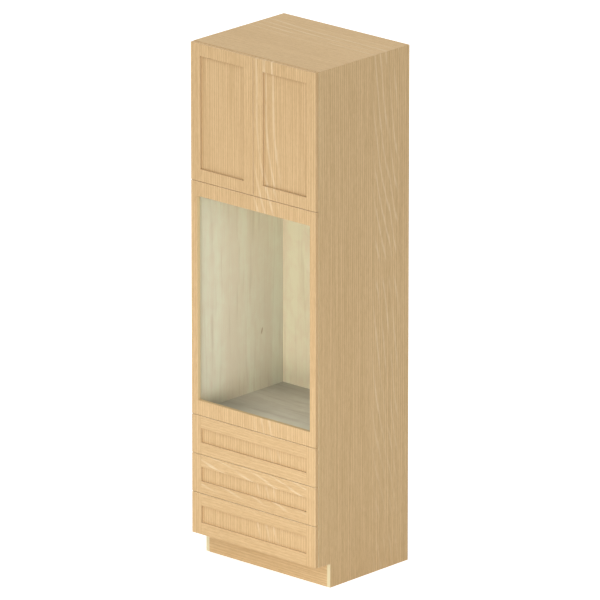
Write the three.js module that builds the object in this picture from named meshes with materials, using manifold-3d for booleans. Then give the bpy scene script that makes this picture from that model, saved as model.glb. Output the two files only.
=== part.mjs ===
// Tall oven housing unit, for a kitchen: a frameless cupboard that stands on the floor.
// Two hinged doors at the top, an open housing for a wall oven, and three drawers below.
// Lengths are millimetres. X runs to the right of someone facing the unit, Y to the back
// and Z up. The origin is on the floor, under the middle of the unit.
import * as THREE from "three";
import { mergeVertices } from "three/addons/utils/BufferGeometryUtils.js";
import Module from "manifold-3d";

const wasm = await Module();
wasm.setup();

// ---- Driving sizes ------------------------------------------------------------------

const unitWidth = 762;
const unitHeight = 2438;
const boxDepth = 600;
const boardThickness = 19;
const frontThickness = 19;
const frontStandOff = 1.5;
const toeHeight = 114;
const toeRecess = 75;

// The fronts cover the box edges: their reveal at the rim and the gap between two of them.
const rimReveal = 1.5;
const frontGap = 3;
const drawerFrontHeights = [195.5, 182.5, 182.5];
const trimHeight = 1105;
const trimSide = 36.5;
const trimBottom = 70;
const trimTop = 68;
const deckRise = 10;

// Frame and panel fronts.
const memberWidth = 57;
const panelRecess = 9.5;
const panelThickness = 6;
const grooveDepth = 9;
const tenonInset = 6;
const edgeEase = 0.8;

// Back of the box.
const backPanelInset = 28;
const backPanelThickness = 9;
const backGrooveDepth = 9;
const nailerHeight = 100;

// Clearances: a board in its groove, a mitre, a pin in its eye, a cup in its hole.
const slipClearance = 0.2;
const mitreClearance = 0.15;
const pinClearance = 0.3;
const cupClearance = 0.2;
const panelEdgeClearance = 0.6;

// Adjustable shelf and its pins.
const shelfSideClearance = 1;
const shelfFrontInset = 15;
const shelfBackSpace = 12;
const shelfPinRadius = 2.5;
const shelfPinReach = 8;
const shelfPinInset = 50;
const shelfHolePitch = 32;
const shelfHoleDepth = 12;

// Drawer boxes and their side-mounted runners.
const drawerWallThickness = 12;
const drawerBottomThickness = 6;
const drawerBottomRaise = 10;
const drawerBackSpace = 52;
const drawerHeadroom = 26.5;
const drawerBoxRaise = 24;
const runnerSpace = 13;
const runnerBackSpace = 18;
const runnerSetBack = 2;
const runnerHeight = 45;
const runnerRaise = 45;
const runnerMetal = 1.2;
const cabinetRunnerReach = 11.8;
const runnerLip = 5;
const sliderWebHeight = 30;
const sliderReach = 10.4;
const runnerClearance = 0.3;

// Concealed hinges. Positions are taken from the outer side face (across) and from the
// front edge of the box (in), with the door closed.
const hingeInset = 100;
const armPin = { across: 32.5, inward: 5.5 };
const cupPin = { across: 10.5, inward: -6 };
const cupCentreFromEdge = 21;
const cupRadius = 17.3;
const cupDepth = 11.6;
const cupWall = 0.9;
const cupFlangeThickness = 1;
const cupFlangeRadius = 19;
const cupPinRadius = 1.3;
const armPinRadius = 1.4;
const linkWidth = 10;
const linkThickness = 3;
const linkArmEyeRadius = 3.2;
const linkCupEyeRadius = 2.7;
const armWidth = 16;
const armCheekRadius = 4;
const armForkDepth = 12;
const armLength = 62;
const basePlateThickness = 3;
const basePlateHeight = 48;

// ---- Sizes that follow --------------------------------------------------------------

const innerHalfWidth = unitWidth / 2 - boardThickness;
const boxFrontY = -(boxDepth - frontStandOff - frontThickness) / 2;
const frontWidth = unitWidth - 2 * rimReveal;
const doorWidth = (frontWidth - frontGap) / 2;
const drawerFrontBases = [];
let nextFrontBase = toeHeight + rimReveal;
for (const height of drawerFrontHeights) {
  drawerFrontBases.push(nextFrontBase);
  nextFrontBase += height + frontGap;
}
const trimBase = nextFrontBase;
const doorBase = trimBase + trimHeight + frontGap;
const doorHeight = unitHeight - rimReveal - doorBase;
const deckTop = trimBase + deckRise;
const cupboardFloorTop = doorBase - frontGap / 2 + boardThickness / 2;
const ceilingHeight = unitHeight - boardThickness;
const shelfBase = (cupboardFloorTop + ceilingHeight - boardThickness) / 2;
const backPanelFront = boxDepth - backPanelInset;
const backPanelBack = backPanelFront + backPanelThickness;
const shelfDepth = backPanelFront - shelfFrontInset - shelfBackSpace;
const shelfPinColumns = [shelfPinInset, backPanelFront - shelfPinInset];
const drawerBoxDepth = backPanelFront - drawerBackSpace;
const drawerBoxHeight = Math.min(...drawerFrontHeights) - drawerBoxRaise - drawerHeadroom;
const runnerLength = drawerBoxDepth - runnerSetBack - runnerBackSpace;
const pieceDepth = backPanelFront - slipClearance;
const hingeHeights = { lower: hingeInset, upper: doorHeight - hingeInset };

// ---- Materials ----------------------------------------------------------------------

const finishes = {
  oak: { color: 0xd9b88b, roughness: 0.55, metalness: 0 },
  maple: { color: 0xd0c4a0, roughness: 0.6, metalness: 0 },
  birch: { color: 0xdcc9a2, roughness: 0.65, metalness: 0 },
  steel: { color: 0xb9bbbd, roughness: 0.35, metalness: 1 },
};

// ---- Solid tools --------------------------------------------------------------------

function toSolid(geometry) {
  const bare = new THREE.BufferGeometry();
  bare.setAttribute("position", geometry.getAttribute("position"));
  bare.setIndex(geometry.getIndex());
  const welded = mergeVertices(bare, 1e-4);
  const mesh = new wasm.Mesh({
    numProp: 3,
    vertProperties: new Float32Array(welded.getAttribute("position").array),
    triVerts: new Uint32Array(welded.getIndex().array),
  });
  return new wasm.Manifold(mesh);
}

function toGeometry(solid) {
  const mesh = solid.getMesh();
  const geometry = new THREE.BufferGeometry();
  geometry.setAttribute("position", new THREE.BufferAttribute(mesh.vertProperties, 3));
  geometry.setIndex(new THREE.BufferAttribute(mesh.triVerts, 1));
  const faceted = geometry.toNonIndexed();
  faceted.computeVertexNormals();
  return faceted;
}

// A box given by its two corners.
function block(low, high) {
  const size = [high[0] - low[0], high[1] - low[1], high[2] - low[2]];
  const geometry = new THREE.BoxGeometry(size[0], size[1], size[2]);
  geometry.translate(low[0] + size[0] / 2, low[1] + size[1] / 2, low[2] + size[2] / 2);
  return toSolid(geometry);
}

function polygon(points) {
  return new THREE.Shape(points.map(([x, y]) => new THREE.Vector2(x, y)));
}

function extrude(shape, depth, curveSegments = 8) {
  return new THREE.ExtrudeGeometry(shape, { depth, bevelEnabled: false, curveSegments });
}

// A profile drawn in Y and Z, carried along X from x to x + depth.
function alongX(shape, x, depth) {
  const turn = new THREE.Matrix4().makeBasis(
    new THREE.Vector3(0, 1, 0),
    new THREE.Vector3(0, 0, 1),
    new THREE.Vector3(1, 0, 0),
  );
  const geometry = extrude(shape, depth).applyMatrix4(turn);
  geometry.translate(x, 0, 0);
  return toSolid(geometry);
}

// A profile drawn in X and Z, carried along Y from y to y + depth.
function alongY(shape, y, depth) {
  const geometry = extrude(shape, depth).rotateX(Math.PI / 2);
  geometry.translate(0, y + depth, 0);
  return toSolid(geometry);
}

// A profile drawn in X and Y, centred on z = 0.
function acrossZ(shape, depth) {
  const geometry = extrude(shape, depth, 6);
  geometry.translate(0, 0, -depth / 2);
  return toSolid(geometry);
}

// A round bar along Y, from y to y + length.
function barY(radius, x, y, z, length, sides) {
  const geometry = new THREE.CylinderGeometry(radius, radius, length, sides);
  geometry.translate(x, y + length / 2, z);
  return toSolid(geometry);
}

// A round bar along Z, centred on z = 0.
function barZ(radius, x, y, length, sides) {
  const geometry = new THREE.CylinderGeometry(radius, radius, length, sides);
  geometry.rotateX(Math.PI / 2);
  geometry.translate(x, y, 0);
  return toSolid(geometry);
}

// A round bar along X, from x to x + length.
function barX(radius, x, y, z, length, sides) {
  const geometry = new THREE.CylinderGeometry(radius, radius, length, sides);
  geometry.rotateZ(Math.PI / 2);
  geometry.translate(x + length / 2, y, z);
  return toSolid(geometry);
}

function place(group, name, solid, finish, x = 0, y = 0, z = 0) {
  const material = new THREE.MeshStandardMaterial(finishes[finish]);
  const mesh = new THREE.Mesh(toGeometry(solid), material);
  mesh.name = name;
  mesh.position.set(x, y, z);
  group.add(mesh);
  return mesh;
}

function groupAt(parent, x, y, z) {
  const group = new THREE.Group();
  group.position.set(x, y, z);
  parent.add(group);
  return group;
}

// ---- Box ----------------------------------------------------------------------------

// Right-hand side panel, with its outer face at x = 0 and the board towards negative X:
// a toe notch, a groove for the back, a mitred head, shelf holes and two shelf pins.
function sidePanel() {
  const outline = polygon([
    [toeRecess, 0],
    [boxDepth, 0],
    [boxDepth, unitHeight],
    [0, unitHeight],
    [0, toeHeight],
    [toeRecess, toeHeight],
  ]);
  let panel = alongX(outline, -boardThickness, boardThickness);
  const over = 5;
  const mitre = polygon([
    [over, unitHeight + over - mitreClearance],
    [-boardThickness - over, unitHeight + over],
    [-boardThickness - over, ceilingHeight - over - mitreClearance],
  ]);
  panel = panel.subtract(alongY(mitre, -over, boxDepth + 2 * over));
  const groove = block(
    [-boardThickness - over, backPanelFront - slipClearance, -over],
    [
      -boardThickness + backGrooveDepth + slipClearance,
      backPanelBack + slipClearance,
      ceilingHeight + backGrooveDepth + slipClearance,
    ],
  );
  panel = panel.subtract(groove);
  const pinHeight = shelfBase - shelfPinRadius - slipClearance;
  for (const column of shelfPinColumns) {
    for (const step of [-2, -1, 1, 2]) {
      const holeHeight = pinHeight + step * shelfHolePitch;
      const start = -boardThickness - 1;
      const hole = barX(shelfPinRadius, start, column, holeHeight, shelfHoleDepth + 1, 10);
      panel = panel.subtract(hole);
    }
    const root = 2;
    const pinStart = -boardThickness - shelfPinReach;
    const pin = barX(shelfPinRadius, pinStart, column, pinHeight, shelfPinReach + root, 12);
    panel = panel.add(pin);
  }
  return panel;
}

function topPanel() {
  const half = unitWidth / 2;
  const outline = polygon([
    [-half + mitreClearance, unitHeight],
    [-half + mitreClearance + boardThickness, ceilingHeight],
    [half - mitreClearance - boardThickness, ceilingHeight],
    [half - mitreClearance, unitHeight],
  ]);
  const groove = block(
    [-half, backPanelFront - slipClearance, ceilingHeight - 1],
    [half, backPanelBack + slipClearance, ceilingHeight + backGrooveDepth + slipClearance],
  );
  return alongY(outline, 0, boxDepth).subtract(groove);
}

// A level board between the side panels, with its underside at z = 0.
function levelBoard(halfWidth, front, back) {
  return block([-halfWidth, front, 0], [halfWidth, back, boardThickness]);
}

// ---- Frame and panel fronts ---------------------------------------------------------

// A ring of stiles and rails with eased edges and a groove round the inside for the
// panel. X starts at the left edge, Z at the lower edge, and the back face is y = 0.
function frontRing(width, height, ring, grooved) {
  const shape = polygon([
    [0, 0],
    [width, 0],
    [width, height],
    [0, height],
  ]);
  const hole = new THREE.Path([
    new THREE.Vector2(ring.left, ring.bottom),
    new THREE.Vector2(ring.left, height - ring.top),
    new THREE.Vector2(width - ring.right, height - ring.top),
    new THREE.Vector2(width - ring.right, ring.bottom),
  ]);
  shape.holes.push(hole);
  const geometry = new THREE.ExtrudeGeometry(shape, {
    depth: frontThickness - 2 * edgeEase,
    bevelEnabled: true,
    bevelThickness: edgeEase,
    bevelSize: edgeEase,
    bevelOffset: -edgeEase,
    bevelSegments: 2,
  });
  geometry.rotateX(Math.PI / 2);
  geometry.translate(0, -edgeEase, 0);
  let solid = toSolid(geometry);
  if (grooved) {
    const face = panelRecess - frontThickness;
    const groove = block(
      [ring.left - grooveDepth, face - slipClearance, ring.bottom - grooveDepth],
      [
        width - ring.right + grooveDepth,
        face + panelThickness + slipClearance,
        height - ring.top + grooveDepth,
      ],
    );
    solid = solid.subtract(groove);
  }
  return solid;
}

const evenRing = {
  left: memberWidth,
  right: memberWidth,
  top: memberWidth,
  bottom: memberWidth,
};

// The flat panel that floats in the groove of a front of this size.
function floatingPanel(width, height) {
  const inGroove = grooveDepth - panelEdgeClearance;
  const face = panelRecess - frontThickness;
  return block(
    [memberWidth - inGroove, face, memberWidth - inGroove],
    [
      width - memberWidth + inGroove,
      face + panelThickness,
      height - memberWidth + inGroove,
    ],
  );
}

// One stile and one rail of a five-piece front. The rail has a stub tenon at each end,
// and the stile's groove runs on past the panel to take both tenons.
function drawerStile(ring, width, height) {
  const face = panelRecess - frontThickness;
  const mortise = block(
    [
      memberWidth - grooveDepth,
      face - slipClearance,
      tenonInset - panelEdgeClearance,
    ],
    [
      memberWidth + 1,
      face + panelThickness + slipClearance,
      height - tenonInset + panelEdgeClearance,
    ],
  );
  const stile = ring.intersect(
    block([-1, -frontThickness - 1, -1], [memberWidth, 1, height + 1]),
  );
  return stile.subtract(mortise);
}

function drawerRail(ring, width, height, base) {
  const railSpace = block(
    [memberWidth, -frontThickness - 1, base],
    [width - memberWidth, 1, base + memberWidth],
  );
  const tenonReach = grooveDepth - panelEdgeClearance;
  const face = panelRecess - frontThickness;
  const lower = base === 0;
  const besideGroove = grooveDepth + tenonInset;
  const tenonBase = base + (lower ? tenonInset : besideGroove);
  const tenonTop = base + memberWidth - (lower ? besideGroove : tenonInset);
  let rail = ring.intersect(railSpace);
  for (const end of [memberWidth, width - memberWidth]) {
    const inward = end === memberWidth ? 1 : -1;
    const xs = [end - inward * tenonReach, end + inward * 2].sort((a, b) => a - b);
    const tenon = block([xs[0], face, tenonBase], [xs[1], face + panelThickness, tenonTop]);
    rail = rail.add(tenon);
  }
  return rail;
}

// ---- Concealed hinge ----------------------------------------------------------------

// Flat bar with round ends between two points of the X-Y plane.
function capsule(from, to, radius, width) {
  const [x0, y0] = from;
  const [x1, y1] = to;
  const heading = Math.atan2(y1 - y0, x1 - x0);
  const shape = new THREE.Shape();
  shape.absarc(x0, y0, radius, heading + Math.PI / 2, heading + 1.5 * Math.PI, false);
  shape.absarc(x1, y1, radius, heading - Math.PI / 2, heading + Math.PI / 2, false);
  shape.closePath();
  return acrossZ(shape, width);
}

// Left-hand pieces. The link is drawn round the arm pin, with the door closed.
const cupPinFromArmPin = [
  cupPin.across - armPin.across,
  cupPin.inward - armPin.inward,
];

function hingeLink() {
  const [bx, by] = cupPinFromArmPin;
  const neckLow = [bx + 6.9, by - 4.2];
  const neckHigh = [bx + 12, by];
  const half = linkThickness / 2;
  let link = capsule([bx, by], neckLow, half, linkWidth);
  link = link.add(capsule(neckLow, neckHigh, half, linkWidth));
  link = link.add(capsule(neckHigh, [0, 0], half, linkWidth));
  link = link.add(barZ(linkCupEyeRadius, bx, by, linkWidth, 20));
  link = link.add(barZ(linkArmEyeRadius, 0, 0, linkWidth, 20));
  link = link.subtract(barZ(cupPinRadius + pinClearance, bx, by, linkWidth + 2, 16));
  link = link.subtract(barZ(armPinRadius + pinClearance, 0, 0, linkWidth + 2, 16));
  return link;
}

// The arm and its base plate, drawn from the inner face of the side panel (x = 0).
function hingeArm() {
  const pinX = armPin.across - boardThickness;
  const pinY = armPin.inward;
  const outline = new THREE.Shape();
  outline.absarc(pinX, pinY, armCheekRadius, Math.PI, 2 * Math.PI, false);
  outline.lineTo(pinX + armCheekRadius, 44);
  outline.quadraticCurveTo(pinX + armCheekRadius, 54, pinX, armLength);
  outline.lineTo(basePlateThickness - 0.5, armLength);
  outline.lineTo(basePlateThickness - 0.5, 27);
  outline.lineTo(pinX - armCheekRadius, 17);
  outline.closePath();
  let arm = acrossZ(outline, armWidth);
  const fork = block(
    [-1, -20, -linkWidth / 2 - pinClearance],
    [60, armForkDepth, linkWidth / 2 + pinClearance],
  );
  arm = arm.subtract(fork);
  arm = arm.add(barZ(armPinRadius, pinX, pinY, armWidth - 1, 16));
  const half = basePlateHeight / 2;
  const round = 7;
  const plate = new THREE.Shape();
  plate.moveTo(30, -half + round);
  plate.quadraticCurveTo(30, -half, 30 + round, -half);
  plate.lineTo(48 - round, -half);
  plate.quadraticCurveTo(48, -half, 48, -half + round);
  plate.lineTo(48, -10);
  plate.lineTo(armLength, -10);
  plate.lineTo(armLength, 10);
  plate.lineTo(48, 10);
  plate.lineTo(48, half - round);
  plate.quadraticCurveTo(48, half, 48 - round, half);
  plate.lineTo(30 + round, half);
  plate.quadraticCurveTo(30, half, 30, half - round);
  plate.closePath();
  return arm.add(alongX(plate, 0, basePlateThickness));
}

// The cup that is pressed into the door, drawn from the door's hinge edge and back face.
function hingeCup() {
  const centre = cupCentreFromEdge;
  let cup = barY(cupRadius, centre, -cupDepth, 0, cupDepth + 0.5, 40);
  const flange = new THREE.Shape();
  const wing = { near: centre - 3, far: centre + 17, half: 29, round: 6 };
  flange.moveTo(wing.near + wing.round, -wing.half);
  flange.lineTo(wing.far - wing.round, -wing.half);
  flange.quadraticCurveTo(wing.far, -wing.half, wing.far, -wing.half + wing.round);
  flange.lineTo(wing.far, wing.half - wing.round);
  flange.quadraticCurveTo(wing.far, wing.half, wing.far - wing.round, wing.half);
  flange.lineTo(wing.near + wing.round, wing.half);
  flange.quadraticCurveTo(wing.near, wing.half, wing.near, wing.half - wing.round);
  flange.lineTo(wing.near, -wing.half + wing.round);
  flange.quadraticCurveTo(wing.near, -wing.half, wing.near + wing.round, -wing.half);
  const seat = cupClearance;
  const sheet = cupFlangeThickness - seat;
  cup = cup.add(alongY(flange, seat, sheet));
  cup = cup.add(barY(cupFlangeRadius, centre, seat, 0, sheet, 40));
  cup = cup.subtract(barY(cupRadius - cupWall, centre, cupWall - cupDepth, 0, 30, 40));
  const pinX = cupPin.across - rimReveal;
  const pinY = cupPin.inward + frontStandOff;
  const longPin = barZ(cupPinRadius, pinX, pinY, 2 * cupRadius, 16);
  const pin = longPin.intersect(barY(cupRadius, centre, -cupDepth, 0, cupDepth, 40));
  return cup.add(pin);
}

// ---- Drawer runners -----------------------------------------------------------------

// Right-hand runner on the side panel: a channel with turned-in lips, open to the drawer.
// x = 0 is the inner face of the side panel.
function cabinetRunner() {
  const h = runnerHeight / 2;
  const m = runnerMetal;
  const reach = cabinetRunnerReach;
  const outline = polygon([
    [0, -h],
    [0, h],
    [-reach, h],
    [-reach, h - runnerLip],
    [-reach + m, h - runnerLip],
    [-reach + m, h - m],
    [-m, h - m],
    [-m, -h + m],
    [-reach + m, -h + m],
    [-reach + m, -h + runnerLip],
    [-reach, -h + runnerLip],
    [-reach, -h],
  ]);
  return alongY(outline, 0, runnerLength);
}

// Right-hand runner on the drawer: a top-hat section whose feet run behind those lips.
// x = 0 is the outer face of the drawer side.
function drawerRunner() {
  const h = sliderWebHeight / 2;
  const m = runnerMetal;
  const reach = sliderReach;
  const foot = runnerHeight / 2 - m - runnerClearance;
  const outline = polygon([
    [0, -h],
    [reach - m, -h],
    [reach - m, -foot],
    [reach, -foot],
    [reach, -h + m],
    [m, -h + m],
    [m, h - m],
    [reach, h - m],
    [reach, foot],
    [reach - m, foot],
    [reach - m, h],
    [0, h],
  ]);
  return alongY(outline, 0, runnerLength);
}

// ---- Assembly -----------------------------------------------------------------------

const part = new THREE.Group();
const unit = groupAt(part, 0, boxFrontY, 0);

const rightSide = sidePanel();
place(unit, "right_side_panel", rightSide, "oak", unitWidth / 2);
place(unit, "left_side_panel", rightSide.mirror([1, 0, 0]), "oak", -unitWidth / 2);
place(unit, "top_panel", topPanel(), "oak");

const fullBoard = levelBoard(innerHalfWidth, 0, pieceDepth);
place(unit, "bottom_panel", fullBoard, "maple", 0, 0, toeHeight);
place(unit, "oven_deck", fullBoard, "maple", 0, 0, deckTop - boardThickness);
place(unit, "cupboard_floor", fullBoard, "maple", 0, 0, cupboardFloorTop - boardThickness);

const shelfHalfWidth = innerHalfWidth - shelfSideClearance;
const shelf = levelBoard(shelfHalfWidth, 0, shelfDepth);
place(unit, "adjustable_shelf", shelf, "maple", 0, shelfFrontInset, shelfBase);

const backHalfWidth = innerHalfWidth + backGrooveDepth;
const backPanel = block(
  [-backHalfWidth, 0, 0],
  [backHalfWidth, backPanelThickness, ceilingHeight + backGrooveDepth - toeHeight],
);
place(unit, "back_panel", backPanel, "maple", 0, backPanelFront, toeHeight);

const nailer = block(
  [-innerHalfWidth, 0, 0],
  [innerHalfWidth, boxDepth - backPanelBack - slipClearance, nailerHeight],
);
place(
  unit,
  "rear_nailer",
  nailer,
  "birch",
  0,
  backPanelBack + slipClearance,
  ceilingHeight - nailerHeight,
);

const toeKick = block(
  [-innerHalfWidth, 0, 0],
  [innerHalfWidth, boardThickness, toeHeight],
);
place(unit, "toe_kick", toeKick, "oak", 0, toeRecess, 0);

// The trim panel frames the oven. Packing strips behind its two long edges seat it.
const trimRing = { left: trimSide, right: trimSide, bottom: trimBottom, top: trimTop };
let trimPanel = frontRing(frontWidth, trimHeight, trimRing, false);
const stripWidth = boardThickness - rimReveal - 2;
for (const x of [2, frontWidth - 2 - stripWidth]) {
  const strip = block([x, -1, 2], [x + stripWidth, frontStandOff, trimHeight - 2]);
  trimPanel = trimPanel.add(strip);
}
place(
  unit,
  "oven_trim_panel",
  trimPanel,
  "oak",
  -frontWidth / 2,
  -frontStandOff,
  trimBase,
);

// Doors: a frame, its panel and two hinges each. The right door mirrors the left one.
const doorRing = frontRing(doorWidth, doorHeight, evenRing, true);
const cupHoleRadius = cupRadius + cupClearance;
const cupHoleDepth = cupDepth + cupClearance;
let doorFrame = doorRing;
for (const height of Object.values(hingeHeights)) {
  const depth = cupHoleDepth + 1;
  const hole = barY(cupHoleRadius, cupCentreFromEdge, -cupHoleDepth, height, depth, 40);
  doorFrame = doorFrame.subtract(hole);
}
const doorPanel = floatingPanel(doorWidth, doorHeight);
const arm = hingeArm();
const link = hingeLink();
const cup = hingeCup();

for (const side of ["left", "right"]) {
  const sign = side === "left" ? -1 : 1;
  const hand = (solid) => (side === "left" ? solid : solid.mirror([1, 0, 0]));
  const edgeX = sign * (unitWidth / 2 - rimReveal);
  const door = groupAt(unit, edgeX, -frontStandOff, doorBase);
  place(door, `${side}_door_frame`, hand(doorFrame), "oak");
  place(door, `${side}_door_panel`, hand(doorPanel), "oak");
  for (const [level, height] of Object.entries(hingeHeights)) {
    const z = doorBase + height;
    place(door, `${side}_${level}_hinge_cup`, hand(cup), "steel", 0, 0, height);
    const pinX = sign * (unitWidth / 2 - armPin.across);
    place(unit, `${side}_${level}_hinge_link`, hand(link), "steel", pinX, armPin.inward, z);
    place(unit, `${side}_${level}_hinge_arm`, hand(arm), "steel", sign * innerHalfWidth, 0, z);
  }
}

// Drawers, counted from the top. Each front is made of two stiles, two rails and a panel.
const drawerHalfWidth = innerHalfWidth - runnerSpace;
const drawerNames = ["drawer_3", "drawer_2", "drawer_1"];

function drawerBox() {
  const w = drawerHalfWidth;
  const t = drawerWallThickness;
  const walls = block([-w, 0, 0], [w, drawerBoxDepth, drawerBoxHeight]);
  const inside = block([-w + t, t, -1], [w - t, drawerBoxDepth - t, drawerBoxHeight + 1]);
  const bite = t / 2;
  const groove = block(
    [-w + bite, bite, drawerBottomRaise - slipClearance],
    [
      w - bite,
      drawerBoxDepth - bite,
      drawerBottomRaise + drawerBottomThickness + slipClearance,
    ],
  );
  return walls.subtract(inside).subtract(groove);
}

function drawerBottom() {
  const w = drawerHalfWidth - drawerWallThickness / 2 - panelEdgeClearance;
  const front = drawerWallThickness / 2 + panelEdgeClearance;
  return block([-w, front, 0], [w, drawerBoxDepth - front, drawerBottomThickness]);
}

const boxSolid = drawerBox();
const bottomSolid = drawerBottom();
const outerRunner = cabinetRunner();
const innerRunner = drawerRunner();

drawerNames.forEach((name, index) => {
  const base = drawerFrontBases[index];
  const height = drawerFrontHeights[index];
  const drawer = groupAt(unit, 0, -frontStandOff, base);
  const front = groupAt(drawer, -frontWidth / 2, 0, 0);
  const ring = frontRing(frontWidth, height, evenRing, true);
  const stile = drawerStile(ring, frontWidth, height);
  place(front, `${name}_left_stile`, stile, "oak");
  place(front, `${name}_right_stile`, stile.mirror([1, 0, 0]), "oak", frontWidth);
  place(front, `${name}_bottom_rail`, drawerRail(ring, frontWidth, height, 0), "oak");
  const topRail = drawerRail(ring, frontWidth, height, height - memberWidth);
  place(front, `${name}_top_rail`, topRail, "oak");
  place(front, `${name}_panel`, floatingPanel(frontWidth, height), "oak");
  place(drawer, `${name}_box`, boxSolid, "birch", 0, 0, drawerBoxRaise);
  const bottomZ = drawerBoxRaise + drawerBottomRaise;
  place(drawer, `${name}_bottom`, bottomSolid, "birch", 0, 0, bottomZ);
  for (const [side, sign] of [["left", -1], ["right", 1]]) {
    const hand = (solid) => (sign < 0 ? solid.mirror([1, 0, 0]) : solid);
    const runnerZ = drawerBoxRaise + runnerRaise;
    const y = runnerSetBack + frontStandOff;
    const innerX = sign * drawerHalfWidth;
    const outerX = sign * innerHalfWidth;
    place(drawer, `${name}_${side}_slide`, hand(innerRunner), "steel", innerX, y, runnerZ);
    const fixed = `${name}_${side}_runner`;
    place(unit, fixed, hand(outerRunner), "steel", outerX, runnerSetBack, base + runnerZ);
  }
});

export default part;
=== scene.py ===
# %% [markdown]
# A tall kitchen unit for a wall oven: two doors above, an open housing in the middle and
# three drawers below. The boards, fronts, hinges and runners come from the packed frame
# at their real size. They could be modelled again here, but then two models would have
# to be kept alike. So this script only gives them their finishes, adds the small
# fastenings, and sets the floor, the lamps and the camera.

import math

import bmesh
import bpy
from mathutils import Matrix, Vector


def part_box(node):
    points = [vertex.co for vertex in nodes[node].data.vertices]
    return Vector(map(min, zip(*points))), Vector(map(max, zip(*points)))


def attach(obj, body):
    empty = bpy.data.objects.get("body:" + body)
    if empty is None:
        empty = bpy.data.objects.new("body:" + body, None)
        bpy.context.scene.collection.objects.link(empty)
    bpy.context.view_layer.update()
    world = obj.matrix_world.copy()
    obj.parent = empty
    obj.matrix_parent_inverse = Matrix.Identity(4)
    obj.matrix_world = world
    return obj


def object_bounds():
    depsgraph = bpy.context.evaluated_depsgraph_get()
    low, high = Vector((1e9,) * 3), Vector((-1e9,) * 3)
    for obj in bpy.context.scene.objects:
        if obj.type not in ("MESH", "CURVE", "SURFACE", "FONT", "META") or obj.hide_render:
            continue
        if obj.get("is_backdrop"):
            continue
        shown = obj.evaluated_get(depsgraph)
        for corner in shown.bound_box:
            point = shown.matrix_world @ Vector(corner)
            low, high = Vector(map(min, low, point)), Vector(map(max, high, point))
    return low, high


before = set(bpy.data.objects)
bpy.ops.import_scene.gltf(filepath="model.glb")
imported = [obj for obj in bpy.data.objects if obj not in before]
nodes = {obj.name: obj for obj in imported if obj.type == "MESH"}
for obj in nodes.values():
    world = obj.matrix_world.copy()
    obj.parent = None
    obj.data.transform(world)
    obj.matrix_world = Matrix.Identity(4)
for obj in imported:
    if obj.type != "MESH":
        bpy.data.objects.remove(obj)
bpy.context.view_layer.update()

# %% [markdown]
# The unit is looked at from its right front corner through a very long lens, so its
# upright edges stay upright. A camera could be moved by eye until the view looks right.
# Here its place was found by matching the corners and gaps of the unit, so that the
# render can be laid over the photograph. It is written as two angles, a distance, a lens,
# and a small slide sideways and upwards that centres the picture.

# %% Camera
AZIMUTH = math.radians(42.4032)
ELEVATION = math.radians(17.6185)
DISTANCE = 44.54539
LENS = 592.124
LOOK_AT = Vector((0.0, 0.00539, 1.2192))
SLIDE = (-0.0030219, 0.0092263)

camera_right = Vector((math.cos(AZIMUTH), math.sin(AZIMUTH), 0.0))
camera_back = Vector(
    (
        math.sin(AZIMUTH) * math.cos(ELEVATION),
        -math.cos(AZIMUTH) * math.cos(ELEVATION),
        math.sin(ELEVATION),
    )
)
camera_up = camera_back.cross(camera_right)
camera_data = bpy.data.cameras.new("camera")
camera_data.sensor_width = 36.0
camera_data.lens = LENS
camera_data.clip_start = 1.0
camera_data.clip_end = 200.0
camera = bpy.data.objects.new("camera", camera_data)
turn = Matrix((camera_right, camera_up, camera_back)).transposed().to_4x4()
place = LOOK_AT + camera_right * SLIDE[0] + camera_up * SLIDE[1] + camera_back * DISTANCE
camera.matrix_world = Matrix.Translation(place) @ turn
bpy.context.scene.collection.objects.link(camera)
bpy.context.scene.camera = camera
bpy.context.scene.view_settings.view_transform = "Standard"
print("camera at", [round(v, 3) for v in place])

# %% [markdown]
# A colour is easiest to choose as it looks on screen, but a shader works with amounts of
# light. Each value could be typed in light, which is hard to read. So the screen's own
# curve turns one into the other, and every colour below is written as it looks.


# %% From screen colours to light
def linear(red, green, blue):
    """The light in a colour that is written as it looks on screen, in 0 to 255."""
    light = []
    for value in (red, green, blue):
        value /= 255.0
        curved = ((value + 0.055) / 1.055) ** 2.4
        light.append(value / 12.92 if value <= 0.04045 else curved)
    return (*light, 1.0)


print("a mid grey of 128 is", round(linear(128, 128, 128)[0], 3), "of white in light")

# %% [markdown]
# Every finish is a graph of shader nodes. They could be set up by hand in the Shader
# Editor, or in a script with four lines for each node, and then the recipe is lost among
# them. The class below gives short names to the nodes of one graph. The materials, the
# floor and the world all use it. A value is either a number or the output of a node.


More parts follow.
